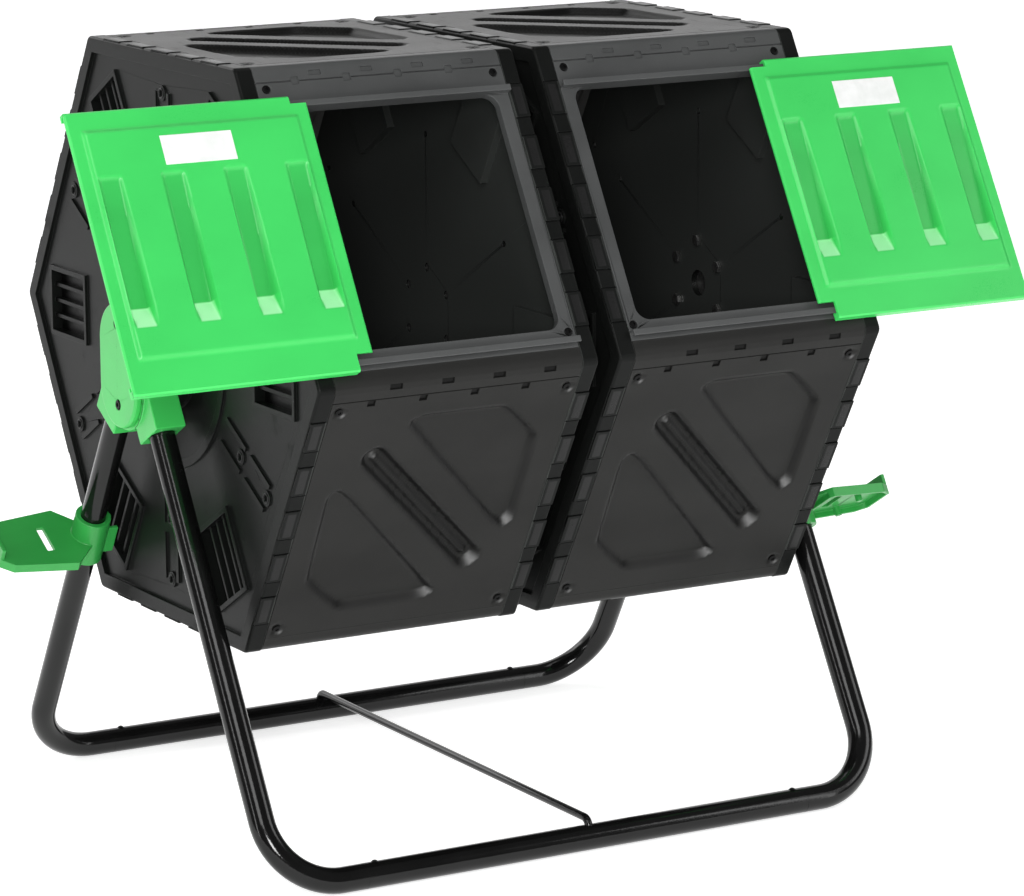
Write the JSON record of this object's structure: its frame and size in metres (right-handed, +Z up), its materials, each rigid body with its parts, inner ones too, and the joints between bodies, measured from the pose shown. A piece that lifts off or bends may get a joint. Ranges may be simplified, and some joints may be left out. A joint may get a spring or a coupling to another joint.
{
  "type": "compost tumbler",
  "caption": "Hexagonal twin-chamber composting drum with a sliding door on each chamber, turning on a bent-tube floor stand.",
  "frame": {"origin": "on the floor under the middle of the stand, below the middle of the drum's axle", "axes": "+X along the axle from the left chamber to the right one, +Y from the door side to the back, +Z up"},
  "size_m": [0.988, 0.6523, 0.7763],
  "materials": {
    "side_panel": "fine moulded texture",
    "end_panel": "fine moulded texture",
    "door_frame": "fine moulded texture",
    "coupling": "matte",
    "bushing": "smooth",
    "door": "satin moulded",
    "lever": "satin moulded",
    "hub": "satin moulded",
    "label": "matte film",
    "tube": "gloss black powder coat",
    "axle": "zinc plated",
    "fastener": "zinc plated"
  },
  "bodies": {
    "stand": {"back_floor_rail": "tube", "back_left_leg": "tube", "back_right_leg": "tube", "front_floor_rail": "tube", "front_left_leg": "tube", "front_right_leg": "tube", "left_bushing": "bushing", "left_hub_cover": "hub", "left_hub_housing": "hub", "left_hub_screws": "fastener", "rail_screws": "fastener", "right_bushing": "bushing", "right_hub_cover": "hub", "right_hub_housing": "hub", "right_hub_screws": "fastener", "spacer_rod": "tube"},
    "drum": {"chamber_coupling": "coupling", "coupling_bolts": "fastener", "left_axle_bolts": "fastener", "left_axle_stub": "axle", "left_door_frame": "door_frame", "left_inner_end_panel": "end_panel", "left_outer_end_panel": "end_panel", "left_panel_screws": "fastener", "left_side_panel_030": "side_panel", "left_side_panel_090": "side_panel", "left_side_panel_210": "side_panel", "left_side_panel_270": "side_panel", "left_side_panel_330": "side_panel", "right_axle_bolts": "fastener", "right_axle_stub": "axle", "right_door_frame": "door_frame", "right_inner_end_panel": "end_panel", "right_outer_end_panel": "end_panel", "right_panel_screws": "fastener", "right_side_panel_030": "side_panel", "right_side_panel_090": "side_panel", "right_side_panel_210": "side_panel", "right_side_panel_270": "side_panel", "right_side_panel_330": "side_panel"},
    "left_door": {"left_door": "door", "left_door_label": "label"},
    "right_door": {"right_door": "door", "right_door_label": "label"},
    "left_lever": {"left_lever_screw": "fastener", "left_lock_lever": "lever"},
    "right_lever": {"right_lever_screw": "fastener", "right_lock_lever": "lever"}
  },
  "joints": [
    {"name": "drum_turn", "type": "hinge", "parent": "stand", "child": "drum", "pos_m": [0, 0, 0.494], "axis": [1, 0, 0], "range_deg": [-165, 50]},
    {"name": "left_door_slide", "type": "slide", "parent": "drum", "child": "left_door", "axis": [1, 0, 0], "range_m": [0, 0.214]},
    {"name": "right_door_slide", "type": "slide", "parent": "drum", "child": "right_door", "axis": [-1, 0, 0], "range_m": [0, 0.204]},
    {"name": "left_lever_swing", "type": "hinge", "parent": "stand", "child": "left_lever", "pos_m": [-0.34, 0.12773, 0.27677], "axis": [0, -0.5069, 0.862], "range_deg": [0, 60]},
    {"name": "right_lever_swing", "type": "hinge", "parent": "stand", "child": "right_lever", "pos_m": [0.34, -0.12773, 0.27677], "axis": [0, 0.5069, 0.862], "range_deg": [0, 60]}
  ]
}
